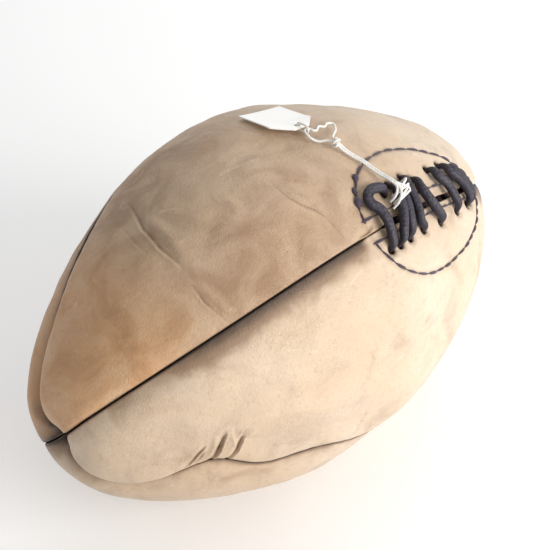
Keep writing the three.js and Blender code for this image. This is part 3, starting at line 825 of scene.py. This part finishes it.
def soil(side, t, share, edge):
    """Dirt and painted shade down in the seams and the pits, and less of it along the slit."""
    line_reach, soft_reach, soft = SEAM_SOIL_AND_SHADE[side]
    low = side in ("bottom", "back")
    to_pit = np.minimum(t, math.pi - t)
    soft = np.where(share < 0.5, *soft) * (1 if low else smooth(-150, -85, x_at(t)))
    dirt_and_shade = 0.9 * np.exp(-edge / np.where(share < 0.5, *line_reach)) + soft * hump(edge, soft_reach)
    dirt_and_shade += hump(to_pit, 0.05) + 0.4 * low * hump(to_pit, 0.19)
    opened = near_seam_a(PANELS[side], share) * between(x_at(t), *SEAM_DARK_LESSENED)
    return dirt_and_shade * (1 - 0.85 * opened * np.exp(-edge / 12))


def leather_depth(side, t, share, angle):
    """How far in a panel's leather lies, the shade painted on it, and how far its seam is."""
    start, end = panel_edges(side, t)
    edge = np.minimum(share, 1 - share) * (end - start) * seam_radius(t)
    depth, dark = worn_depth(side, t, angle, edge)
    depth = depth + turned_in(side, t, angle, edge)
    if side in LACED:
        drawn_in, lacing_shade = round_the_lacing(x_at(t), across_at(t, angle), side)
        depth, dark = depth + drawn_in, np.maximum(dark, lacing_shade)
    return depth * smooth(0, 0.2, t) ** 0.3, dark, edge


def on_leather(side, x, across, height):
    """Points over the worn leather beside seam A, at a height above it."""
    t = t_at(x)
    angle = angle_at(t, across)
    start, end = panel_edges(side, t)
    share = np.clip((angle - start) / (end - start), 0, 1)
    depth = leather_depth(side, t, share, angle)[0]
    return casing_point(t, angle, depth - height, worn_swell(t, share, side))


def leather_panel(side):
    shares = spread((0.03, 8), (0.17, 24), (0.83, 70), (0.97, 22), (1, 8))
    t, share = grid(panel_rows(side), shares)
    start, end = panel_edges(side, t)
    angle, keep = start + (end - start) * share, None
    if side in LACED:
        t, angle, keep = snap_to_holes(t, angle, side)
        share = np.clip((angle - start) / (end - start), 0, 1)
    depth, dark, edge = leather_depth(side, t, share, angle)
    outer = casing_point(t, angle, depth, worn_swell(t, share, side))
    inner = outer - normals_of(outer) * LEATHER
    inner[..., 2] = np.maximum(inner[..., 2], LEATHER)
    outer[..., 2] = np.maximum(outer[..., 2], 0)
    shaded_end, lit_end = PAINTED_LIGHT_TONES[side]
    # Painted light and shade: each panel lit or shaded as a whole, and paler towards +X where the light is
    # strongest.
    tone = shaded_end + (lit_end - shaded_end) * smooth(-120, 120, x_at(t) + 12 * wander(outer, 90, 5))
    # Seam dirt with painted shade, and the shade painted in creases, dents and round the lacing.
    values = {"groove": soil(side, t, share, edge), "crease": dark, "tone": tone}
    values = {key: np.clip(value, 0, 1) for key, value in values.items()}
    piece = thick_sheet(f"{side}_leather", outer, inner, keep, values)
    place(piece, "casing_leather", f"{side}_panel")


for panel in PANELS:
    leather_panel(panel)


# ---- everything behind the panels ----
NECK_HEIGHT = -17.5
NECK_ROUTE = [
    (18, 0, -26), (18, 0, -22), (19.5, 0, -19.2), (23, 0, -17.6),
    (30, 0, NECK_HEIGHT), (50, 0.4, NECK_HEIGHT), (72, 0, NECK_HEIGHT),
]
BLADDER_FOLD = (-20, -7, 106, 119)
THREAD_DEPTH = 3.2
THREAD_RADIUS = 0.5
TWINE_END = 0.14


def lining(side):
    """The cotton behind a panel, stopping short of its seams."""
    start, end = PANELS[side]
    shares = np.linspace(0.2 if start is seam_a else 0.08, 0.8 if end is seam_a else 0.92, 60)
    t, share = grid(np.linspace(0.22, math.pi - 0.22, 160), shares)
    width = end(t) - start(t)
    angle = start(t) + width * share
    edge = np.minimum(share, 1 - share) * width * seam_radius(t)
    slack = worn_depth(side, t, angle, edge)[0] + 0.6
    faces = [casing_point(t, angle, depth + slack, worn_swell(t, share, side)) for depth in LINING_DEPTH]
    place(thick_sheet(f"{side}_cotton", *faces), "lining_cotton", f"{side}_lining")


def bladder():
    """The rubber bladder, folded down under the lacing."""
    t, turn = grid(np.linspace(0.02, math.pi - 0.02, 140), np.linspace(0, CIRCLE, 150))
    angle = SEAM_A + turn
    radius = seam_radius(t)
    across = (np.mod(angle - seam_a(t) + math.pi, CIRCLE) - math.pi) * radius
    fold = between(x_at(t), *BLADDER_FOLD) * (1 - smooth(24, 34, np.abs(across)))
    depth = 9.5 + 1.3 * dent_field(x_at(t), np.mod(angle, CIRCLE), radius)[0] + 16 * fold
    depth = depth + 0.5 * wander(casing_point(t, angle, 0, 0), 30, 80)
    faces = [casing_point(t, angle, depth + wall, MID_SWELL / 2) for wall in (0, BLADDER_WALL)]
    place(thick_sheet("bladder_rubber", *faces), "bladder_rubber", "bladder")


def bladder_neck():
    line = curve_through(laid(NECK_ROUTE), 0.8)
    pinch = 1 - 0.22 * hump(line[:, :1] - NECK_TIE_AT, 2.2)
    points, faces = swept(line, 3.6 * pinch * (1 + 0.05 * np.cos(4 * full_turn(28))))
    place(mesh("bladder_neck", points, faces), "bladder_rubber", "bladder")


def unit(vector):
    return vector / np.linalg.norm(vector)


def neck_tie():
    """Cotton cord wound round the folded neck."""
    around = np.linspace(0, 6 * math.pi, 260)
    centre, ahead = laid([(NECK_TIE_AT, 0, NECK_HEIGHT), (NECK_TIE_AT + 1, 0, NECK_HEIGHT)])
    way = unit(ahead - centre)
    up = unit(np.cross(way, (0, 1, 0)))
    ring = np.stack([np.cos(around), np.sin(around), (around / math.pi - 3) * 0.12], -1) * [3.9, 3.9, 3]
    line = centre + ring @ np.array([up, np.cross(way, up), way])
    piece = joined("neck_cord", [thread(line, THREAD_RADIUS, 2, 9)])
    place(piece, "lining_cotton", "neck_tie")


def flat_sheet(name, x, across, depths, side=None, wave=0):
    """A layer of leather that follows the casing beside the slit, with a panel's holes."""
    t, angle, keep = snap_to_holes(t_at(x), angle_at(t_at(x), across), side)
    x, across = x_at(t), across_at(t, angle)
    ripple = wave * wander(np.stack([x, across], -1), 11, 60)
    faces = [beside_seam_a(x, across, depth + ripple) for depth in depths]
    return thick_sheet(name, *faces, keep)


def facing(side):
    way, word = LACED[side]
    turn, share = grid(np.linspace(-1.33, 1.33, 150), np.linspace(0, 1, 50))
    along = np.sin(turn)
    across = 2 + (outline(along, FACING_HALF[1]) - 2) * share
    x = FACING_CENTRE + FACING_HALF[0] * along
    piece = flat_sheet(f"lace_facing_{word}_leather", x, way * across, FACING_DEPTH, side)
    place(piece, "inner_leather", f"lace_facing_{word}")


def tongue():
    x, across = grid(np.linspace(-3, 100, 110), np.linspace(-17.5, 17.5, 40))
    piece = flat_sheet("tongue_leather", x, across, TONGUE_DEPTH, wave=0.25)
    place(piece, "inner_leather", "lace_tongue", paint=TONGUE_PAINT)


def seam_twine(node, seam, from_t, to_t):
    """Lock-stitched twine down in a seam, slanting from side to side."""
    t = np.linspace(from_t, to_t, int(230 * (to_t - from_t)))
    slant = np.radians(0.25) * np.sin(np.arange(len(t)) * 0.7)
    sunk, _ = dent_field(x_at(t), seam(t), seam_radius(t))
    line = casing_point(t, seam(t) + slant, THREAD_DEPTH + sunk, 0)
    place(joined(f"{node}_thread", [thread(line, THREAD_RADIUS, 2.4, 9)]), "seam_twine", node)


def add_insides():
    for side in PANELS:
        lining(side)
    for side in LACED:
        facing(side)
    tongue()
    for letter, seam in (("b", fixed(SEAM_B)), ("c", seam_c), ("d", fixed(SEAM_D))):
        seam_twine(f"seam_twine_{letter}", seam, TWINE_END, math.pi - TWINE_END)
    seam_twine("seam_twine_a_long", seam_a, TWINE_END, t_at(SLIT[0] - SLIT_FADE - 3))
    seam_twine("seam_twine_a_short", seam_a, t_at(SLIT[1] + SLIT_FADE + 3), math.pi - TWINE_END)
    bladder()
    bladder_neck()
    neck_tie()


add_insides()


# ---- the lace ----
# The bars' centrelines between their holes, as (x, across, height).
BARS = [
    [
        (12, -15.6, 4), (7, -16.8, 3.6), (2.8, -15, 3.6), (1.4, -11.4, 4.2),
        (3.2, -7.2, 4.9), (3.4, -1.6, 5.2), (2.2, 5.7, 4),
    ],
    [(19.1, -9.5, 4.2), (14.4, -0.8, 4.9), (9.2, 6, 4.4)],
    [(23.6, -10.3, 4), (20.4, -2.8, 4.4), (17, 3.9, 4.2)],
    [(28.6, -10.5, 4), (27, -4.4, 4.3), (25.6, 0.6, 4.3), (24.4, 5.9, 3.2)],
    [(36.4, -7.9, 3.9), (36.8, -1.4, 4.4), (39.1, 5.6, 4.1)],
    [(54.9, -10.4, 3.9), (57.6, -4.8, 4.4), (59.3, 2.3, 4)],
    [(68.6, -9.8, 3.7), (73.2, -3, 4.3), (76.6, 2.8, 3.8)],
    [(73.6, -9.6, 4.1), (78, -3.6, 4.3), (81.2, 2.2, 3.7)],
]
BAR_RADIUS = 2.35
LACE_UNDER = 1.6
LACE_AT_HOLE = 1.35


def up_through(hole, bar_end):
    x, across = hole
    rise = [(x, across, -LACE_END_DEPTH, LACE_UNDER), (x, across, -2.4, LACE_AT_HOLE)]
    crest = 0.55 * bar_end[2] + 0.9
    for lean, height, radius in ((0.2, 0.9, LACE_AT_HOLE + 0.15), (0.5, crest, 0.86 * BAR_RADIUS)):
        rise.append((x + lean * (bar_end[0] - x), across + lean * (bar_end[1] - across), height, radius))
    return rise


def lace_line():
    """The thong's points, radius and height: over in bars, and back under in slants."""
    route = []
    for bar, upper, lower, following in zip(BARS, HOLES["top"], HOLES["front"], [*HOLES["top"][1:], None]):
        route += up_through(upper, bar[0]) + [(*point, BAR_RADIUS) for point in bar]
        route += up_through(lower, bar[-1])[::-1]
        if following:
            for share in (0.2, 0.5, 0.8):
                point = (1 - share) * np.array(lower) + share * np.array(following)
                route.append((*point, -UNDER_DEPTH, LACE_UNDER))
    table = np.array(route)
    return curve_through(np.column_stack([laid(table[:, :3]), table[:, 3], table[:, 2]]), 0.5)


def lace():
    line = lace_line()
    middle, radius, height = line[:, :3], line[:, 3:4], line[:, 4:5]
    turn = full_turn(24)
    bumps = 0.015 * wander(middle, 7, 70)[:, None]
    fold = 2.1 + 0.9 * wander(middle, 26, 71)[:, None]
    flat = 0.07 * np.cos(2 * turn - fold)
    pleat = -0.11 * hump((turn - fold) % CIRCLE - math.pi, 0.34)
    points, faces = swept(middle, radius * (1 + flat + pleat + bumps))
    # A highlight painted on the side of the lace that faces up towards the light, in patches, only where it
    # stands off the leather.
    top = spokes(middle, turn) @ np.array([-0.2, -0.5, 0.85])
    rub = smooth(0.35, 0.95, top) * smooth(1, 4, height)
    rub *= smooth(-0.7, 0.9, wander(points, 1.5, 72).reshape(rub.shape))
    strip = np.sin(3 * turn + 2.5 * wander(middle, 30, 73)[:, None] + 0.05 * distances(middle)[:, None])
    piece = mesh("rolled_lace", points, faces, {"rub": 0.75 * rub, "strip": 0.5 + 0.5 * strip})
    place(piece, "lace_leather", "lace")


lace()


# ---- the stitches round the lacing ----
STITCH_PITCH = {"top": 9.6, "front": 8.2}
STITCH_ROW = {"top": 6.4, "front": 4.8}  # across from seam A
BEADS = [((7, -26), 4, 1.5), ((1.2, -20.6), 5.2, 1.15), ((-1.6, -15.4), 5.6, 1.8)]  # place, length, radius
BEAD_SLOPE = (0.42, -0.9)


def stitch_line(side):
    """Points, x and across of a panel's thread: along the slit, then round the outline."""
    way = LACED[side][0]
    half_long, half_wide = (half * STITCH_INSET for half in FACING_HALF)
    along = np.cos(np.linspace(0.22, math.pi - 0.13, 160))
    row_x = np.linspace(-6.6, 88, 60)
    row_across = way * STITCH_ROW[side] + 0.25 * np.sin(row_x / 9)
    x = np.concatenate([row_x, FACING_CENTRE + half_long * along])
    across = np.concatenate([row_across, way * outline(along, half_wide)])
    return curve_through(np.column_stack([on_leather(side, x, across, 0.3), x, across]), 0.3)


def waxed_thread(side):
    """Back-stitches that stand up where they show, thinner towards the end."""
    line = stitch_line(side)
    along = distances(line[:, :3])
    stitch = along / STITCH_PITCH[side] + 0.06 * np.sin(along / 5)
    shown = np.clip(np.sin(math.pi * np.clip((stitch % 1 - 0.05) / 0.88, 0, 1)), 0, 1) ** 0.6
    jitter = 1 + 0.2 * np.sin(np.floor(stitch) * 2.4)
    radius = 0.2 + (0.16 + 0.28 * smooth(0, 6, along[-1] - along)) * shown * jitter
    turn, along = full_turn(12), along[:, None]
    radii = radius[:, None] * (1 + 0.08 * np.cos(2 * turn + 2.4 * along))
    points, faces = swept(on_leather(side, line[:, 3], line[:, 4], 0.25 + 0.4 * shown), radii)
    return points, faces, np.abs(np.cos(turn - 2 * along)).ravel()


def bead(middle, length, thickness):
    reach = np.linspace(-0.5, 0.5, 16)
    x, across = (at + slope * length * reach for at, slope in zip(middle, BEAD_SLOPE))
    line = on_leather("top", x, across, 0.5 * thickness - 3.2 * thickness * reach**2)
    share = (distances(line) / distances(line)[-1])[:, None]
    radius = thickness * np.sin(math.pi * np.clip(share, 0.02, 0.98)) ** 0.75
    points, faces = swept(line, radius * (1 + 0.08 * np.cos(3 * full_turn(14) + 9 * share)))
    return points, faces, np.ones(len(points))


def facing_stitch(side):
    node = f"facing_stitch_{LACED[side][1]}"
    beads = [bead(*row) for row in BEADS] if side == "top" else []
    place(joined(f"{node}_thread", [waxed_thread(side), *beads]), "dark_thread", node)


for panel in LACED:
    facing_stitch(panel)


# ---- the tag's string, as the CAD model routes it: (x, across, height) ----
STRING_RADIUS = 0.6
PAIR_HALF = 0.8
TURN_RADIUS = 2.5
TURN = (6.4, -54.6)
TURN_HEIGHT = 3.1
PAIR_ROUTE = [
    (18.9, -9.9, 7.3), (18.6, -13, 7.2), (18.2, -16.4, 6.2), (17.8, -20, 4.4),
    (17.2, -25, 3), (16.2, -30, 2.5), (14.4, -35.6, 1.8), (12.6, -39.6, 2.4),
]
KNOT = (10.8, -43.4, 4)
STRAND_OUT = [(9, -46.6, 3.2), (6, -49.4, 1.8), (4, -52, 2.4)]
STRAND_BACK = [
    (10.6, -54.4, 2.8), (14, -56, 2.8), (17.4, -55.2, 2.2), (21, -56.6, 2),
    (24, -55.4, 1.8), (21.6, -52, 1.6), (16.6, -49.2, 2), (12.7, -46.6, 3.2),
]
STRAND_PITCH = 2.6  # of the string's three twisted plies


def string_piece(name, lines, node, closed=False, radius=STRING_RADIUS, body="ball"):
    piece = joined(name, [thread(line, radius, STRAND_PITCH, 15, closed) for line in lines])
    return place(piece, "white_string", node, body=body)


def string_line():
    def beside(side):
        return [(x + side * PAIR_HALF, across, height) for x, across, height in [*PAIR_ROUTE, KNOT]]

    turn = [
        (TURN[0] - TURN_RADIUS * math.cos(around), TURN[1] - TURN_RADIUS * math.sin(around), TURN_HEIGHT)
        for around in np.linspace(0, math.pi, 5)
    ]
    route = [*beside(-1), *STRAND_OUT, *turn, *STRAND_BACK, *beside(1)[::-1]]
    return curve_through(laid(route), 0.3)


# The hitch: turns round the second and third bars, and a fan of strands from the doubled string over them.
HITCH_TURNS = [(-12, 0.1), (-10.4, -0.12), (-8.9, 0.05), (-7.5, -0.08)]  # across, and lean
FAN = [
    [(18.3, -14.4, 6.3), (16.6, -11.6, 7.9), (13.8, -8.9, 6.9), (12.4, -8.1, 3.4)],
    [(18.9, -14.2, 6.7), (17.2, -9.6, 8.3), (13.7, -6.1, 7), (11.9, -4.9, 3.2)],
    [(19.3, -14.2, 6.7), (21.3, -11.2, 8), (24.4, -9.2, 7), (26.6, -8.6, 3.4)],
]


def hitch_turn(across, lean):
    """One turn round the second and third bars."""
    middle_x = 19.4 - 0.5 * (across + 6.5)
    turn = full_turn(90)
    waves = np.array([np.cos(turn), np.sin(turn)])
    reach, rise = np.sign(waves) * np.abs(waves) ** 0.8 * [[5.5], [3.35]]
    return laid(np.column_stack([middle_x + reach, across - (0.28 + lean) * reach, 4.35 + rise]))


def knot_line():
    """An overhand knot drawn tight, as a trefoil across the doubled string."""
    turn = full_turn(150)
    wide = 1.5 + 0.6 * np.cos(3 * turn)
    flat = np.stack([wide * np.cos(2 * turn), wide * np.sin(2 * turn), 0.95 * np.sin(3 * turn)], -1)
    centre, ahead = laid([KNOT, (KNOT[0] - 1.8, KNOT[1] - 3.9, KNOT[2])])
    way = unit(ahead - centre)
    up = unit(np.cross(np.cross(way, (0, 0, 1)), way))
    return centre + flat @ np.array([np.cross(way, up), up, way])


# ---- the card tag, in the frame that hangs from the string's turn ----
TAG_LENGTH, TAG_WIDTH, TAG_THICKNESS = 32, 26, 0.6
TAG_CLIP = 8.5
TAG_GAP = 2.6
TAG_HOLE_AT, TAG_HOLE_RADIUS = 3.6, 1.6
TIE_ALONG, TIE_HIGH, TIE_RADIUS, TIE_CENTRE = 3.9, 1.8, 0.5, 2.2
TAG_SLOPE, TAG_LEAN, TAG_YAW = np.radians([3, 2, -7])
TAG_SAG = (0.075, 0.085)  # how far the limp card leans over along and across, per millimetre


def turned_about(axis, angle):
    a, b = (axis + 1) % 3, (axis + 2) % 3
    matrix = np.eye(3)
    matrix[a, a] = matrix[b, b] = math.cos(angle)
    matrix[a, b], matrix[b, a] = -math.sin(angle), math.sin(angle)
    return matrix


def on_tag(points):
    """Points of the tag's own frame, in the row frame."""
    hinge = beside_seam_a(TURN[0], TURN[1] - TURN_RADIUS, -TURN_HEIGHT)
    turn = turned_about(2, TAG_YAW) @ turned_about(1, TAG_LEAN) @ turned_about(0, -TAG_SLOPE)
    return hinge + points @ turn.T


def card_grid():
    """The card's grid, its distance from the edges and the hole, and the faces that stay."""
    y, share = grid(np.linspace(0, TAG_LENGTH, 97), np.linspace(-1, 1, 79))
    half = TAG_WIDTH / 2 - np.maximum(TAG_CLIP - y, 0)
    from_hole = np.hypot(half * share, y - TAG_HOLE_AT) - TAG_HOLE_RADIUS
    x, y, gone = hole_cut(half * share, y, (0, TAG_HOLE_AT), TAG_HOLE_RADIUS)
    from_rim = np.minimum(half * (1 - np.abs(share)), np.minimum(y, TAG_LENGTH - y))
    return x, y, from_rim, from_hole, ~gone


def tag_card():
    x, y, from_rim, from_hole, keep = card_grid()
    sag = (TAG_SAG[0] * y + TAG_SAG[1] * x) * smooth(0, 14, y)
    curl = 0.3 * (x / (TAG_WIDTH / 2)) ** 2 - sag
    edge = np.clip(0.5 * np.exp(-from_rim / 0.35) + 0.4 * np.exp(-from_hole / 0.3), 0, 0.6)
    half = TAG_THICKNESS / 2
    faces = [on_tag(np.stack([x, y + TAG_GAP, curl + lift], -1)) for lift in (half, -half)]
    piece = thick_sheet("blank_card", *faces, keep, {"edge": edge})
    return place(piece, "white_card", "swing_tag", body="tag")


def tag_tie():
    """The loop of string through the card's hole."""
    around = full_turn(80)
    drawn_out = np.sign(np.sin(around)) * (TIE_ALONG - TIE_HIGH) * np.minimum(1, np.abs(np.sin(around)) * 3)
    along = TIE_CENTRE + TIE_HIGH * np.sin(around) + drawn_out
    loop = np.stack([0 * around, along, TIE_HIGH * np.cos(around)], -1)
    return string_piece("tie_loop", [on_tag(loop)], "tag_tie", True, TIE_RADIUS, "tag")


def add_string():
    line = string_line()
    strand = string_piece("tag_string_twisted", [line], "tag_string")
    turns = string_piece("hitch_turns", [hitch_turn(*turn) for turn in HITCH_TURNS], "string_hitch", True)
    fan = string_piece("hitch_fan", [curve_through(laid(way), 0.3) for way in FAN], "string_hitch")
    knot = string_piece("overhand_knot", [knot_line()], "string_knot", True)
    tag_tie()
    tag_card()


add_string()


# ---- camera, paper and lights: in metres, but for the paper, whose corners go through mesh() ----
CAMERA_AZIMUTH, CAMERA_ELEVATION = math.radians(-47.77), math.radians(37.81)
CAMERA_DISTANCE = 0.4793
CAMERA_LENS = 58.8
CAMERA_SENSOR = 36
CAMERA_SHIFT = (-0.0154, 0.0217)
LIGHTS_AIM = (0, 0, 0.07)
FLOOR_HALF = 3000
FLOOR_GLOW = 0.12  # the paper is lit from behind
SKY_STRENGTH = 0.56


def pointed(thing, location, way):
    thing.location = location
    thing.rotation_mode = "QUATERNION"
    thing.rotation_quaternion = way.to_track_quat("-Z", "Y")


def add_camera():
    back = Vector((
        math.sin(CAMERA_AZIMUTH) * math.cos(CAMERA_ELEVATION),
        -math.cos(CAMERA_AZIMUTH) * math.cos(CAMERA_ELEVATION),
        math.sin(CAMERA_ELEVATION),
    ))
    camera = add_object("camera", bpy.data.cameras.new("camera"))
    pointed(camera, Vector(AXIS * MM) + back * CAMERA_DISTANCE, -back)
    camera.data.lens = CAMERA_LENS
    camera.data.sensor_width = CAMERA_SENSOR
    camera.data.shift_x, camera.data.shift_y = CAMERA_SHIFT
    camera.data.clip_start = 0.01
    bpy.context.scene.camera = camera


def add_light(name, location, size, power, colour=(1, 1, 1)):
    light = bpy.data.lights.new(name, "AREA")
    light.shape = "DISK"
    light.size = size
    light.energy = power
    light.color = colour
    pointed(add_object(name, light), location, Vector(LIGHTS_AIM) - Vector(location))


def add_floor():
    corners = [(x * FLOOR_HALF, y * FLOOR_HALF, 0) for x, y in ((-1, -1), (1, -1), (1, 1), (-1, 1))]
    floor = mesh("floor", corners, [(0, 1, 2, 3)])
    paint = Paint("floor_paper")
    paper = (0.92, 0.92, 0.92)
    glow = {"Emission Color": paper, "Emission Strength": FLOOR_GLOW}
    floor.data.materials.append(paint.finish(paper, 0.9, paint.bump(paint.noise(900, 3), 0.02, 0.2), glow))


def add_sky():
    world = bpy.data.worlds.new("studio")
    world.use_nodes = True
    background = world.node_tree.nodes["Background"]
    background.inputs["Color"].default_value = (1, 1, 1, 1)
    background.inputs["Strength"].default_value = SKY_STRENGTH
    bpy.context.scene.world = world
    bpy.context.scene.view_settings.view_transform = "Standard"


add_camera()
add_floor()
add_sky()
add_light("key", (0.2, -1.1, 0.45), 0.8, 14, (1, 0.985, 0.965))
add_light("back_fill", (0.9, 0.5, 0.9), 1.2, 5)
